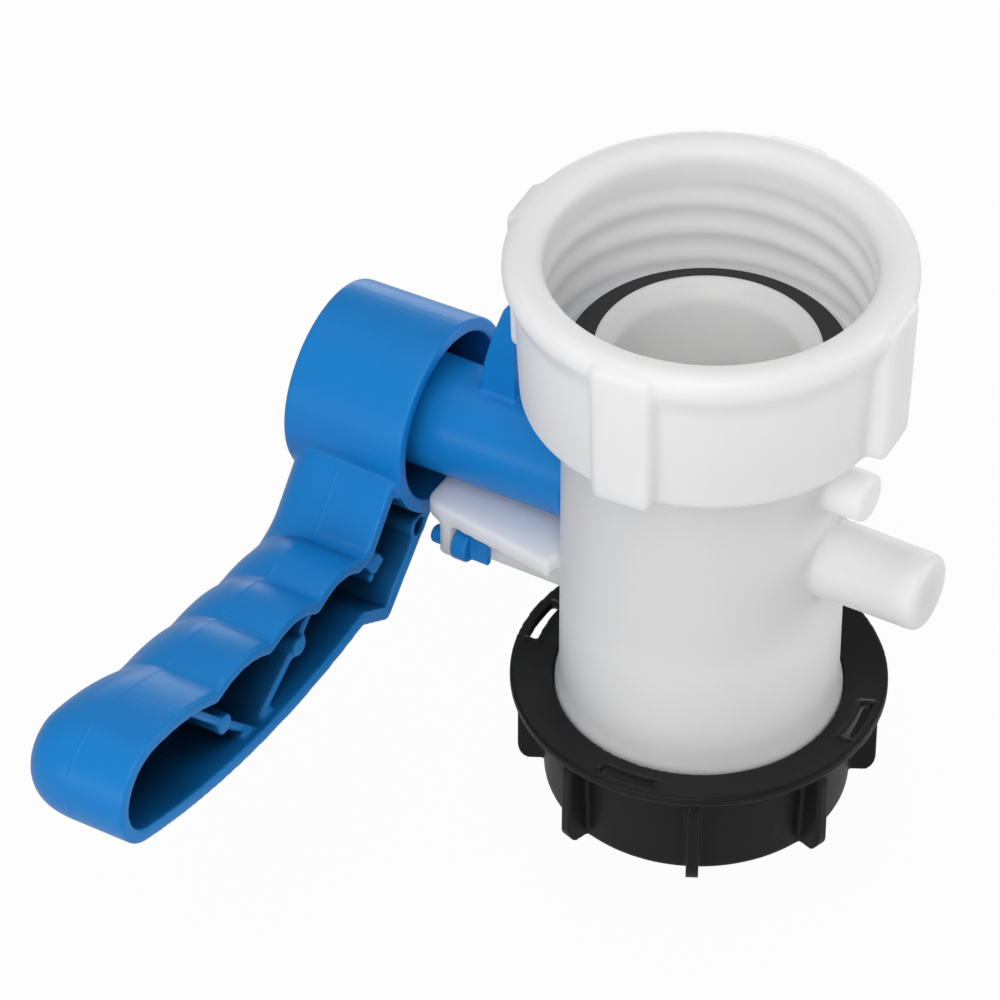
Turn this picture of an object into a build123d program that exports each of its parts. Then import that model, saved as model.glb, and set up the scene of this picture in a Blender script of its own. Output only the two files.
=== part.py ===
from build123d import *
import os
from math import atan, cos, degrees, radians, sin, sqrt

# Tank outlet valve, in millimetres.
# The origin lies on the flow axis, at the foot of the dust cap. +Z runs up the flow axis to
# the inlet, -X runs along the stem to the handle, and the handle lies along -Y when closed.

overrun = 1.0

os.makedirs("parts", exist_ok=True)

# Valve body: pipe, chamber and outlet
body_r = 29.1
body_wall = 3.3
body_top_z = 105.2
stem_axis_z = 70.4
shoulder_thickness = 4.0
outlet_thread_step = 0.9
outlet_thread_chamfer = 1.2
outlet_wall = 4.6
outlet_flare_height = 3.6
seal_gap = 0.05
neck_r = 9.8
neck_length = 12.9

# Blind side stub and small boss
stub_r = 8.3
stub_draft_deg = 0.6
stub_length = 22.3
stub_end_round = 1.6
stub_core_r = 5.0
stub_wall = 3.2
boss_r = 5.1
boss_z = 89.3
boss_length = 8.3
boss_end_round = 1.0

# Lock arm with its tab
arm_top_z = 58.2
arm_thickness = 4.0
arm_length = 29.1
arm_tip_half_width = 13.4
arm_root_half_width = 18.4
arm_tip_round = 4.0
web_y = 6.4
web_thickness = 2.4
web_bottom_drop = 15.9
web_length = 18.1
web_nose_slant = 3.2
tab_setback = 4.3
tab_thickness = 2.5
tab_width = 7.0

# Ball, seats and inlet end
ball_chamber_gap = 1.2
ball_wall = 5.4
port_step = 0.3
seat_gap = 0.2
seat_side_gap = 2.0
seat_land = 1.55
seat_nose_share = 0.4146
ring_section_r = 1.35
ring_groove_gap = 0.06
retainer_clearance = 0.06
collar_step = 1.8
collar_thickness = 2.7
gasket_edge_gap = 2.3
gasket_thickness = 2.5
lip_wall = 3.35
lip_height = 2.7
lip_round = 1.3

# Union nut
nut_height = 35.2
nut_flange_thickness = 3.1
nut_flange_gap = 0.15
nut_bore_gap = 0.35
nut_relief_gap = 1.1
nut_thread_step = 0.7
nut_mouth_step = 1.9
nut_mouth_height = 3.6
nut_foot_wall = 6.1
nut_head_wall = 7.5
nut_rim_step = 2.3
nut_rim_height = 8.0
nut_rim_round = 3.2
nut_foot_round = 1.8
lug_count = 4
lug_step = 1.1
lug_width = 13.0
lug_round = 2.6
lug_top_gap = 1.6
lug_foot_gap = 0.6
lug_draft_deg = 2.0
lug_turn_deg = 3.5

# Dust cap and its liner
cap_height = 26.8
cap_floor = 2.6
cap_thread_clearance = 0.25
cap_skirt_foot_wall = 1.75
cap_skirt_top_wall = 2.75
cap_flange_width = 9.05
cap_flange_thickness = 2.2
cap_flange_dish = 1.5
cap_foot_round = 1.4
cap_rib_count = 8
cap_rib_thickness = 2.6
cap_rib_setback = 1.7
cap_rib_foot_gap = 1.0
cap_rib_round = 4.0
cap_slot_count = 4
cap_slot_setback = 3.3
cap_slot_width = 2.2
cap_slot_length = 11.5
cap_turn_deg = 4.7
cap_liner_thickness = 1.8
cap_liner_clearance = 0.4

# Stem and its seals
stem_r = 7.5
stem_clearance = 0.06
stem_collar_r = 9.0
stem_collar_thickness = 1.5
stem_collar_gap = 0.3
washer_thickness = 1.0
washer_gap = 0.05
tang_width = 6.0
tang_length = 14.0
tang_depth = 3.4
tang_gap = 0.1
stem_ring_section_r = 1.2
stem_ring_spacing = 5.0
stem_ring_first = 4.5
stem_square = 10.0
stem_square_setback = 4.0

# Bonnet sleeve with its fin
bonnet_r = 12.1
bonnet_draft_deg = 0.8
bonnet_length = 36.9
bonnet_foot_gap = 0.1
bonnet_bore_gap = 0.06
fin_thickness = 4.0
fin_width = 8.0
fin_back_length = 14.1
fin_rise = 22.5
fin_tip_width = 2.8

# Handle
hub_mouth_r = 21.4
hub_end_r = 20.8
hub_body_gap = 30.1
hub_length = 28.4
hub_wall = 3.0
hub_end_wall = 4.0
hub_edge_round = 0.8
hub_boss_r = 10.6
hub_boss_gap = 1.5
square_gap = 0.1
handle_setback = 1.4
handle_width = 25.6
handle_wall = 3.0
handle_floor = 4.0
handle_reach = 124.2
handle_round_share = 0.0644
grip_valley_round_share = 0.02
grip_rise_share = 0.0185
tip_drop = 14.2
tip_r = 12.2
belly_fall_deg = 17.7
heel_round = 1.8
heel_width = 21.0
rib_thickness = 2.0
rib_recess = 2.5
rib_boss_r = 2.3
rib_boss_recess = 1.6
lock_socket_r = 3.0
lock_socket_depth = 8.4

# Points of the handle seen along the stem, from the stem axis: shares of the hub's radius
neck_top_shares = (-0.991, -0.14)
hub_chord_shares = (-0.21, -0.944)
# and shares of the handle's reach
neck_foot_shares = (-0.2496, -0.1159)
grip_valley_shares = [(-0.2738, -0.1176), (-0.4066, -0.1055), (-0.5515, -0.0813), (-0.7126, -0.0612)]
belly_end_shares = (-0.2738, -0.2625)
heel_shares = (-0.1932, -0.3108)
rib_boss_shares = [(-0.2061, -0.1836), (-0.4461, -0.1804), (-0.6747, -0.1715)]
rib_run_shares = [
    [(-0.2085, -0.0644), (-0.2077, -0.306)],
    [(-0.2979, -0.1288), (-0.2061, -0.1836), (-0.1127, -0.2496)],
    [(-0.3462, -0.0966), (-0.4461, -0.1804), (-0.5878, -0.2738)],
    [(-0.5717, -0.2738), (-0.6747, -0.1715), (-0.789, -0.0483)],
]

# Handle screw and washer
screw_r = 3.0
screw_head_r = 5.6
screw_head_height = 3.4
screw_length = 16.0
screw_hex_r = 2.5
screw_hex_depth = 2.0
screw_clearance = 0.1
screw_wall = 6.0
hub_washer_r = 8.0
hub_washer_thickness = 1.2
hub_pocket_r = 8.8
hub_pocket_depth = 1.6

# Lock screw
lock_y = -11.0
lock_drop = 10.4
lock_r = 2.0
lock_clearance = 0.08
lock_knob_r = 3.6
lock_knob_length = 3.4
lock_reach = 3.3
lock_wing_length = 4.0
lock_wing_height = 6.4
lock_wing_thickness = 1.6
lock_hole_depth = 4.7
lock_gap = 0.1

# Radii that follow from the pipe outwards and inwards
body_bore_r = body_r - body_wall
outlet_thread_r = body_r + outlet_thread_step
outlet_bore_r = outlet_thread_r - outlet_wall
ball_r = body_bore_r - ball_chamber_gap
ball_bore_r = ball_r - ball_wall
port_r = ball_bore_r + port_step
ball_seat_r = ball_r + seat_gap
seat_outer_r = body_bore_r - seat_side_gap
seat_rebate = 2 * ring_section_r + 2 * ring_groove_gap
seat_rebate_r = seat_outer_r - seat_rebate
collar_r = body_r + collar_step
gasket_inner_r = port_r + lip_wall + seal_gap
gasket_outer_r = collar_r - gasket_edge_gap
nut_relief_r = collar_r + nut_relief_gap
nut_thread_r = nut_relief_r - nut_thread_step
nut_mouth_r = nut_thread_r + nut_mouth_step
nut_wall_foot_r = nut_thread_r + nut_foot_wall
nut_wall_top_r = nut_thread_r + nut_head_wall
nut_rim_r = nut_wall_top_r + nut_rim_step
lug_reach_r = nut_rim_r + lug_step
cap_bore_r = outlet_thread_r + cap_thread_clearance
cap_skirt_foot_r = cap_bore_r + cap_skirt_foot_wall
cap_skirt_top_r = cap_bore_r + cap_skirt_top_wall
cap_flange_r = cap_bore_r + cap_flange_width
cap_rib_reach_r = cap_flange_r - cap_rib_setback
cap_slot_r = cap_flange_r - cap_slot_setback

# Heights along the flow axis
liner_top_z = cap_floor + cap_liner_thickness
outlet_z = liner_top_z + seal_gap
seat_rebate_offset = sqrt(ball_seat_r**2 - seat_rebate_r**2) + seat_land
seat_back = seat_rebate_offset + seat_rebate
seat_nose = ball_r * seat_nose_share
seat_floor_z = stem_axis_z - seat_back - seal_gap
shoulder_foot_z = seat_floor_z - shoulder_thickness
retainer_foot_z = stem_axis_z + seat_back + seal_gap
collar_foot_z = body_top_z + seal_gap
gasket_foot_z = collar_foot_z + collar_thickness
gasket_top_z = gasket_foot_z + gasket_thickness
lip_top_z = gasket_top_z + lip_height
nut_flange_top_z = collar_foot_z - nut_flange_gap
nut_bottom_z = nut_flange_top_z - nut_flange_thickness
nut_top_z = nut_bottom_z + nut_height
web_bottom_z = arm_top_z - web_bottom_drop
lock_z = arm_top_z - lock_drop

# Places along the stem, from the pipe's wall
stub_end_x = body_r + stub_length
boss_end_x = body_r + boss_length
neck_end_x = -body_r - neck_length
arm_tip_x = -body_r - arm_length
web_nose_x = -body_r - web_length
tab_x = arm_tip_x + tab_setback
lock_end_x = tab_x - lock_reach
bonnet_end_x = -body_r - bonnet_length
fin_back_x = -body_r - fin_back_length
fin_foot_x = fin_back_x - fin_width
fin_top_z = stem_axis_z + bonnet_r + fin_rise
hub_mouth_x = -body_r - hub_body_gap
hub_end_x = hub_mouth_x - hub_length
hub_boss_x = bonnet_end_x - hub_boss_gap
handle_open_x = hub_mouth_x - handle_setback
handle_outer_x = handle_open_x - handle_width
stem_square_start_x = bonnet_end_x - stem_square_setback
stem_end_x = hub_end_x + screw_wall
collar_outer_x = -ball_r - stem_collar_gap - stem_collar_thickness
washer_outer_x = collar_outer_x - washer_gap - washer_thickness
counterbore_x = washer_outer_x - washer_gap


def stem_plane(x):
    """Plane across the stem axis: local x runs along Y, local y along Z, facing +X."""
    return Plane(origin=(x, 0, stem_axis_z), x_dir=(0, 1, 0), z_dir=(1, 0, 0))


def lock_plane(x):
    """Plane across the lock screw's axis, turned the same way as the stem's."""
    return Plane(origin=(x, lock_y, lock_z), x_dir=(0, 1, 0), z_dir=(1, 0, 0))


def at_share(length, shares):
    """Point at the given shares of a length, across the stem axis."""
    return (length * shares[0], length * shares[1])


# Dust cap: skirt, floor and dished flange turned in one profile, with ribs and slots
flange_foot_z = cap_height - cap_flange_thickness
with BuildPart() as dust_cap:
    with BuildSketch(Plane.XZ):
        with BuildLine():
            Polyline(
                (0, 0),
                (cap_skirt_foot_r, 0),
                (cap_skirt_top_r, flange_foot_z - cap_flange_dish),
                (cap_flange_r, flange_foot_z),
                (cap_flange_r, cap_height),
                (cap_bore_r, cap_height - cap_flange_dish),
                (cap_bore_r, cap_floor),
                (0, cap_floor),
                close=True,
            )
        make_face()
    revolve(axis=Axis.Z)
    fillet(dust_cap.edges().filter_by(GeomType.CIRCLE).group_by(Axis.Z)[0], radius=cap_foot_round)
    rib_turn = cap_turn_deg + 180 / cap_rib_count
    for index in range(cap_rib_count):
        rib_angle = rib_turn + index * 360 / cap_rib_count
        rib_plane = Plane(
            origin=(0, 0, 0),
            x_dir=(cos(radians(rib_angle)), sin(radians(rib_angle)), 0),
            z_dir=(sin(radians(rib_angle)), -cos(radians(rib_angle)), 0),
        )
        with BuildSketch(rib_plane):
            with Locations((cap_skirt_foot_r - cap_foot_round, cap_rib_foot_gap)):
                Rectangle(
                    cap_rib_reach_r - cap_skirt_foot_r + cap_foot_round,
                    flange_foot_z - cap_flange_dish / 2 - cap_rib_foot_gap,
                    align=(Align.MIN, Align.MIN),
                )
            fillet(vertices().group_by(Axis.Z)[0].sort_by(SortBy.DISTANCE)[-1], radius=cap_rib_round)
        extrude(amount=cap_rib_thickness / 2, both=True)
    slot_angle = degrees(cap_slot_length / cap_slot_r)
    for index in range(cap_slot_count):
        slot_start = cap_turn_deg + index * 360 / cap_slot_count - slot_angle / 2
        with BuildSketch(Plane.XY.offset(flange_foot_z - cap_flange_dish)):
            SlotArc(
                CenterArc((0, 0), cap_slot_r, slot_start, slot_angle, mode=Mode.PRIVATE), cap_slot_width
            )
        extrude(amount=cap_height, mode=Mode.SUBTRACT)
dust_cap.part.label = "dust_cap"

# Liner: soft disc that seals the outlet inside the cap
with BuildPart() as cap_liner:
    with BuildSketch(Plane.XY.offset(cap_floor)):
        Circle(cap_bore_r - cap_liner_clearance)
    extrude(amount=cap_liner_thickness)
cap_liner.part.label = "cap_liner"

# Valve body: pipe with ball chamber, outlet thread, side neck, stub, boss and lock arm
with BuildPart() as valve_body:
    with BuildSketch(Plane.XZ):
        with BuildLine():
            thread_top_z = cap_height - cap_flange_dish
            Line((outlet_bore_r, outlet_z), (outlet_thread_r - outlet_thread_chamfer, outlet_z))
            Line(
                (outlet_thread_r - outlet_thread_chamfer, outlet_z),
                (outlet_thread_r, outlet_z + outlet_thread_chamfer),
            )
            Line((outlet_thread_r, outlet_z + outlet_thread_chamfer), (outlet_thread_r, thread_top_z))
            TangentArc(
                (body_r, thread_top_z + outlet_flare_height),
                (outlet_thread_r, thread_top_z),
                tangent=(0, -1),
            )
            Line((body_r, thread_top_z + outlet_flare_height), (body_r, body_top_z))
            Polyline(
                (body_r, body_top_z),
                (body_bore_r, body_top_z),
                (body_bore_r, seat_floor_z),
                (port_r, seat_floor_z),
                (port_r, shoulder_foot_z),
                (outlet_bore_r, shoulder_foot_z),
                (outlet_bore_r, outlet_z),
            )
        make_face()
    revolve(axis=Axis.Z)
    # side neck that holds the stem, on the handle side
    with BuildSketch(stem_plane(neck_end_x)):
        Circle(neck_r)
    extrude(amount=-neck_end_x - body_bore_r - overrun)
    # blind stub on the far side
    with BuildSketch(stem_plane(body_bore_r + overrun)):
        Circle(stub_r)
    extrude(amount=stub_end_x - body_bore_r - overrun, taper=stub_draft_deg)
    fillet(valve_body.edges().group_by(Axis.X)[-1], radius=stub_end_round)
    # small round boss above the stub
    with BuildSketch(stem_plane(body_bore_r + overrun)):
        with Locations((0, boss_z - stem_axis_z)):
            Circle(boss_r)
    extrude(amount=boss_end_x - body_bore_r - overrun)
    end_faces = valve_body.faces().filter_by(Axis.X)
    boss_end = end_faces.filter_by_position(Axis.X, boss_end_x - overrun, boss_end_x + overrun)
    fillet(boss_end.edges(), radius=boss_end_round)
    # tongue-shaped arm below the neck, rounded at its free end
    with BuildSketch(Plane.XY.offset(arm_top_z - arm_thickness)):
        with BuildLine():
            Polyline(
                (-body_bore_r, arm_root_half_width),
                (arm_tip_x, arm_tip_half_width),
                (arm_tip_x, -arm_tip_half_width),
                (-body_bore_r, -arm_root_half_width),
                close=True,
            )
        make_face()
        fillet(vertices().group_by(Axis.X)[0], radius=arm_tip_round)
    extrude(amount=arm_thickness)
    # two webs under the arm, cut back at a slant towards the tab
    for side in (-1, 1):
        with BuildSketch(Plane(origin=(0, side * web_y, 0), x_dir=(1, 0, 0), z_dir=(0, -1, 0))):
            with BuildLine():
                Polyline(
                    (-body_bore_r, arm_top_z - arm_thickness / 2),
                    (web_nose_x + web_nose_slant, arm_top_z - arm_thickness / 2),
                    (web_nose_x, web_bottom_z),
                    (-body_bore_r, web_bottom_z),
                    close=True,
                )
            make_face()
        extrude(amount=web_thickness / 2, both=True)
    # hanging tab with the hole for the lock screw
    with BuildSketch(lock_plane(tab_x)):
        Circle(tab_width / 2)
        Rectangle(tab_width, arm_top_z - arm_thickness / 2 - lock_z, align=(Align.CENTER, Align.MIN))
        Circle(lock_r + lock_clearance, mode=Mode.SUBTRACT)
    extrude(amount=tab_thickness)
    # clear the chamber and the bores that the arm, stub and neck run into
    with BuildSketch(Plane.XY.offset(seat_floor_z)):
        Circle(body_bore_r)
    extrude(amount=body_top_z - seat_floor_z, mode=Mode.SUBTRACT)
    with BuildSketch(Plane.XY.offset(outlet_z)):
        Circle(outlet_bore_r)
    extrude(amount=shoulder_foot_z - outlet_z, mode=Mode.SUBTRACT)
    with BuildSketch(stem_plane(neck_end_x)):
        Circle(stem_r + stem_clearance)
    extrude(amount=-neck_end_x, mode=Mode.SUBTRACT)
    with BuildSketch(stem_plane(counterbore_x)):
        Circle(stem_collar_r + 2 * stem_clearance)
    extrude(amount=-counterbore_x, mode=Mode.SUBTRACT)
    with BuildSketch(stem_plane(0)):
        Circle(stub_core_r)
    extrude(amount=stub_end_x - stub_wall, mode=Mode.SUBTRACT)
valve_body.part.label = "valve_body"

# Ball: bored through along Y when closed, with the slot that the stem's tang turns
with BuildPart() as ball:
    with Locations((0, 0, stem_axis_z)):
        Sphere(ball_r)
    with BuildSketch(Plane(origin=(0, 0, stem_axis_z), x_dir=(1, 0, 0), z_dir=(0, -1, 0))):
        Circle(ball_bore_r)
    extrude(amount=ball_r + overrun, both=True, mode=Mode.SUBTRACT)
    slot_floor_x = -ball_r - stem_collar_gap + tang_depth + tang_gap
    with BuildSketch(stem_plane(slot_floor_x)):
        Rectangle(tang_width + 2 * tang_gap, 2 * ball_r)
    extrude(amount=-ball_r, mode=Mode.SUBTRACT)
ball.part.label = "ball"

# Seats: one ring on each side of the ball, rebated at the back for its rubber ring
ring_centre_r = seat_outer_r - ring_section_r - ring_groove_gap
ring_offset = seat_back - ring_section_r - ring_groove_gap
seat_inner_offset = sqrt(ball_seat_r**2 - port_r**2)
seat_nose_r = sqrt(ball_seat_r**2 - seat_nose**2)
for seat_name, side in (("inlet_seat", 1), ("outlet_seat", -1)):
    with BuildPart() as seat:
        with BuildSketch(Plane.XZ):
            with BuildLine():
                seat_points = [
                    (seat_nose_r, seat_nose),
                    (seat_outer_r, seat_nose),
                    (seat_outer_r, seat_rebate_offset),
                    (seat_rebate_r, seat_rebate_offset),
                    (seat_rebate_r, seat_back),
                    (port_r, seat_back),
                    (port_r, seat_inner_offset),
                ]
                placed = [(r, stem_axis_z + side * h) for r, h in seat_points]
                Polyline(*placed)
                middle_r = (seat_nose_r + port_r) / 2
                middle_offset = sqrt(ball_seat_r**2 - middle_r**2)
                ThreePointArc(placed[-1], (middle_r, stem_axis_z + side * middle_offset), placed[0])
            make_face()
        revolve(axis=Axis.Z)
    seat.part.label = seat_name
    with BuildPart() as seat_ring:
        with BuildSketch(Plane.XZ):
            with Locations((ring_centre_r, stem_axis_z + side * ring_offset)):
                Circle(ring_section_r)
        revolve(axis=Axis.Z)
    seat_ring.part.label = seat_name + "_ring"
    export_step(seat.part, "parts/" + seat_name + ".step")
    export_step(seat_ring.part, "parts/" + seat_name + "_ring.step")

# Inlet end piece: screwed into the body, it holds the seat, the gasket and the nut
with BuildPart() as inlet_end:
    with BuildSketch(Plane.XZ):
        with BuildLine():
            Polyline(
                (port_r, retainer_foot_z),
                (body_bore_r - retainer_clearance, retainer_foot_z),
                (body_bore_r - retainer_clearance, collar_foot_z),
                (collar_r, collar_foot_z),
                (collar_r, gasket_foot_z),
                (gasket_inner_r - seal_gap, gasket_foot_z),
                (gasket_inner_r - seal_gap, lip_top_z),
                (port_r, lip_top_z),
                close=True,
            )
        make_face()
    revolve(axis=Axis.Z)
    fillet(inlet_end.edges().filter_by(GeomType.CIRCLE).group_by(Axis.Z)[-1], radius=lip_round)
inlet_end.part.label = "inlet_end"

# Gasket: flat rubber ring on the collar
with BuildPart() as inlet_gasket:
    with BuildSketch(Plane.XY.offset(gasket_foot_z)):
        Circle(gasket_outer_r)
        Circle(gasket_inner_r, mode=Mode.SUBTRACT)
    extrude(amount=gasket_thickness)
inlet_gasket.part.label = "inlet_gasket"

# Union nut: rim bead, tapered wall, inner flange that the collar holds, and grip lugs
with BuildPart() as union_nut:
    nut_thread_foot_z = lip_top_z + seal_gap
    with BuildSketch(Plane.XZ):
        with BuildLine():
            Polyline(
                (body_r + nut_bore_gap, nut_bottom_z),
                (nut_wall_foot_r, nut_bottom_z),
                (nut_wall_top_r, nut_top_z - nut_rim_height),
                (nut_rim_r, nut_top_z - nut_rim_height + nut_rim_r - nut_wall_top_r),
                (nut_rim_r, nut_top_z),
                (nut_mouth_r, nut_top_z),
                (nut_thread_r, nut_top_z - nut_mouth_height),
                (nut_thread_r, nut_thread_foot_z),
                (nut_relief_r, nut_thread_foot_z),
                (nut_relief_r, nut_flange_top_z),
                (body_r + nut_bore_gap, nut_flange_top_z),
                close=True,
            )
        make_face()
    revolve(axis=Axis.Z)
    outer_edges = union_nut.edges().filter_by(GeomType.CIRCLE)
    fillet(outer_edges.group_by(Axis.Z)[-1], radius=nut_rim_round)
    fillet(
        union_nut.edges().filter_by(GeomType.CIRCLE).group_by(Axis.Z)[0].sort_by(SortBy.RADIUS)[-1],
        radius=nut_foot_round,
    )
    lug_root_r = (nut_thread_r + nut_wall_foot_r) / 2
    for index in range(lug_count):
        lug_angle = lug_turn_deg + index * 360 / lug_count
        lug_plane = Plane(
            origin=(0, 0, nut_bottom_z + lug_foot_gap),
            x_dir=(cos(radians(lug_angle)), sin(radians(lug_angle)), 0),
            z_dir=(0, 0, 1),
        )
        lug_height = nut_top_z - lug_top_gap - nut_bottom_z - lug_foot_gap
        with BuildSketch(lug_plane):
            with Locations((lug_root_r, 0)):
                Rectangle(
                    lug_reach_r - lug_root_r - lug_height * sin(radians(lug_draft_deg)),
                    lug_width - 2 * lug_height * sin(radians(lug_draft_deg)),
                    align=(Align.MIN, Align.CENTER),
                )
            fillet(vertices().sort_by(SortBy.DISTANCE)[-2:], radius=lug_round)
        extrude(amount=lug_height, taper=-lug_draft_deg)
    with BuildSketch(Plane.XY.offset(nut_flange_top_z)):
        Circle(nut_thread_r)
    extrude(amount=nut_top_z - nut_flange_top_z, mode=Mode.SUBTRACT)
union_nut.part.label = "union_nut"

# Stem: collar and tang inside the chamber, two seal grooves, square end for the handle
stem_ring_names = ("stem_ring_inner", "stem_ring_outer")
stem_ring_places = [
    counterbore_x - stem_ring_first - index * stem_ring_spacing for index in range(len(stem_ring_names))
]
with BuildPart() as stem:
    with BuildSketch(stem_plane(stem_square_start_x)):
        Circle(stem_r)
    extrude(amount=collar_outer_x - stem_square_start_x)
    with BuildSketch(stem_plane(collar_outer_x)):
        Circle(stem_collar_r)
    extrude(amount=stem_collar_thickness)
    with BuildSketch(stem_plane(collar_outer_x + stem_collar_thickness)):
        Rectangle(tang_width, tang_length)
    extrude(amount=tang_depth)
    with BuildSketch(stem_plane(stem_end_x)):
        Rectangle(stem_square, stem_square)
    extrude(amount=stem_square_start_x - stem_end_x)
    for place in stem_ring_places:
        with BuildSketch(stem_plane(place - stem_ring_section_r - ring_groove_gap)):
            Circle(stem_r + overrun)
            Circle(stem_r - 2 * stem_ring_section_r - ring_groove_gap, mode=Mode.SUBTRACT)
        extrude(amount=2 * stem_ring_section_r + 2 * ring_groove_gap, mode=Mode.SUBTRACT)
    with BuildSketch(stem_plane(stem_end_x)):
        Circle(screw_r + screw_clearance)
    extrude(amount=screw_length, mode=Mode.SUBTRACT)
stem.part.label = "stem"

# Stem seals: one rubber ring in each groove
for ring_name, place in zip(stem_ring_names, stem_ring_places):
    with BuildPart() as stem_ring:
        with BuildSketch(Plane.XZ):
            with Locations((place, stem_axis_z + stem_r - stem_ring_section_r)):
                Circle(stem_ring_section_r)
        revolve(axis=Axis((0, 0, stem_axis_z), (1, 0, 0)))
    stem_ring.part.label = ring_name
    export_step(stem_ring.part, "parts/" + ring_name + ".step")

# Thrust washer between the stem's collar and the neck
with BuildPart() as stem_washer:
    with BuildSketch(stem_plane(washer_outer_x)):
        Circle(stem_collar_r)
        Circle(stem_r + stem_clearance, mode=Mode.SUBTRACT)
    extrude(amount=washer_thickness)
stem_washer.part.label = "stem_washer"

# Bonnet: sleeve over the neck, saddled on the body, with an upright fin
with BuildPart() as bonnet:
    with BuildSketch(stem_plane(bonnet_end_x)):
        Circle(bonnet_r)
    extrude(amount=-bonnet_end_x - port_r, taper=bonnet_draft_deg)
    fillet(bonnet.edges().group_by(Axis.X)[0], radius=hub_edge_round)
    with BuildSketch(Plane(origin=(0, 0, 0), x_dir=(1, 0, 0), z_dir=(0, -1, 0))):
        with BuildLine():
            foot_z = stem_axis_z + stem_r
            Line((fin_back_x, foot_z), (fin_foot_x, foot_z))
            Line((fin_foot_x, foot_z), (fin_foot_x, stem_axis_z + bonnet_r + fin_thickness))
            ThreePointArc(
                (fin_foot_x, stem_axis_z + bonnet_r + fin_thickness),
                (
                    fin_foot_x + fin_tip_width,
                    (fin_top_z + stem_axis_z + bonnet_r + 2 * fin_thickness) / 2,
                ),
                (fin_back_x - fin_tip_width, fin_top_z),
            )
            Line((fin_back_x - fin_tip_width, fin_top_z), (fin_back_x, fin_top_z))
            Line((fin_back_x, fin_top_z), (fin_back_x, foot_z))
        make_face()
    extrude(amount=fin_thickness / 2, both=True)
    with BuildSketch(Plane.XY):
        Circle(body_r + bonnet_foot_gap)
    extrude(amount=nut_bottom_z, mode=Mode.SUBTRACT)
    with BuildSketch(stem_plane(neck_end_x - bonnet_bore_gap)):
        Circle(neck_r + bonnet_bore_gap)
    extrude(amount=-neck_end_x, mode=Mode.SUBTRACT)
    with BuildSketch(stem_plane(bonnet_end_x - overrun)):
        Circle(stem_r + stem_clearance)
    extrude(amount=-bonnet_end_x, mode=Mode.SUBTRACT)
bonnet.part.label = "bonnet"


# Handle outline, seen along the stem: finger bumps on top, round tip, straight neck at the hub
grip_rise = handle_reach * grip_rise_share
grip_valleys = [at_share(handle_reach, shares) for shares in grip_valley_shares]
neck_top = at_share(hub_mouth_r, neck_top_shares)
neck_foot = at_share(handle_reach, neck_foot_shares)
belly_end = at_share(handle_reach, belly_end_shares)
hub_chord = at_share(hub_mouth_r, hub_chord_shares)
with BuildSketch() as grip_outline:
    with BuildLine():
        Line(hub_chord, neck_top)
        Line(neck_top, neck_foot)
        Line(neck_foot, grip_valleys[0])
        for start, end in zip(grip_valleys[:-1], grip_valleys[1:]):
            crest = ((start[0] + end[0]) / 2, (start[1] + end[1]) / 2 + grip_rise)
            ThreePointArc(start, crest, end)
        tip = CenterArc((tip_r - handle_reach, -tip_drop), tip_r, 90, 180 - belly_fall_deg)
        TangentArc(tip @ 0, grip_valleys[-1], tangent=(1, 0))
        TangentArc(tip @ 1, belly_end, tangent=tip % 1)
        Line(belly_end, hub_chord)
    make_face()
with BuildSketch() as heel_outline:
    with BuildLine():
        Polyline(belly_end, at_share(handle_reach, heel_shares), hub_chord, close=True)
    make_face()
    fillet(vertices().sort_by(Axis.Y)[0], radius=heel_round)

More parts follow.
